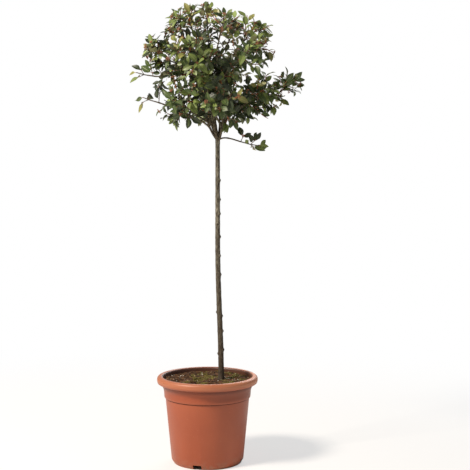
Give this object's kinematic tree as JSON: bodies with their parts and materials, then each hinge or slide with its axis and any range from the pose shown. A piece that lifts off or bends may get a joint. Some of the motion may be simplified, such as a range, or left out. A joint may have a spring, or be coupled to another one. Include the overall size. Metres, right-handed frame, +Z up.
{
  "type": "standard lollipop topiary",
  "caption": "Evergreen shrub trained as a standard: a slim clear stem carries a loose round leafy crown and stands in a round plastic nursery pot filled with compost.",
  "frame": {"origin": "centre of the pot's flat underside", "axes": "+Z up along the stem, +X to the right seen from the front, +Y to the back"},
  "size_m": [0.5663, 0.4633, 1.4983],
  "materials": {
    "pot": "terracotta-coloured moulded plastic, satin",
    "soil": "moist bark-based compost with some moss",
    "bark": "smooth grey-brown bark with small knots",
    "foliage": "glossy dark green leaves on reddish young twigs"
  },
  "bodies": {
    "root": {"pot": "pot", "soil": "soil", "trunk": "bark", "bough_1": "bark", "bough_2": "bark", "bough_3": "bark", "bough_4": "bark", "bough_5": "bark", "bough_6": "bark", "leader": "bark", "low_limb_1": "bark", "low_limb_2": "bark", "low_limb_3": "bark", "low_limb_4": "bark", "low_limb_5": "bark", "low_limb_6": "bark", "high_limb_1": "bark", "high_limb_2": "bark", "high_limb_3": "bark", "high_limb_4": "bark", "high_limb_5": "bark", "high_limb_6": "bark", "right_spray_limb": "bark", "lower_spray_limb": "bark", "left_spray_limb": "bark", "left_wisp_limb": "bark", "drooping_spray_limb": "bark", "leaves_mid_1": "foliage", "leaves_mid_2": "foliage", "leaves_mid_3": "foliage", "leaves_mid_4": "foliage", "leaves_mid_5": "foliage", "leaves_mid_6": "foliage", "leaves_top_1": "foliage", "leaves_low_1": "foliage", "leaves_low_2": "foliage", "leaves_low_3": "foliage", "leaves_low_4": "foliage", "leaves_low_5": "foliage", "leaves_low_6": "foliage", "leaves_high_1": "foliage", "leaves_high_2": "foliage", "leaves_high_3": "foliage", "leaves_high_4": "foliage", "leaves_high_5": "foliage", "leaves_high_6": "foliage", "leaves_right_spray": "foliage", "leaves_lower_spray": "foliage", "leaves_left_spray": "foliage", "leaves_left_wisp": "foliage", "leaves_drooping_spray": "foliage"}
  },
  "joints": []
}
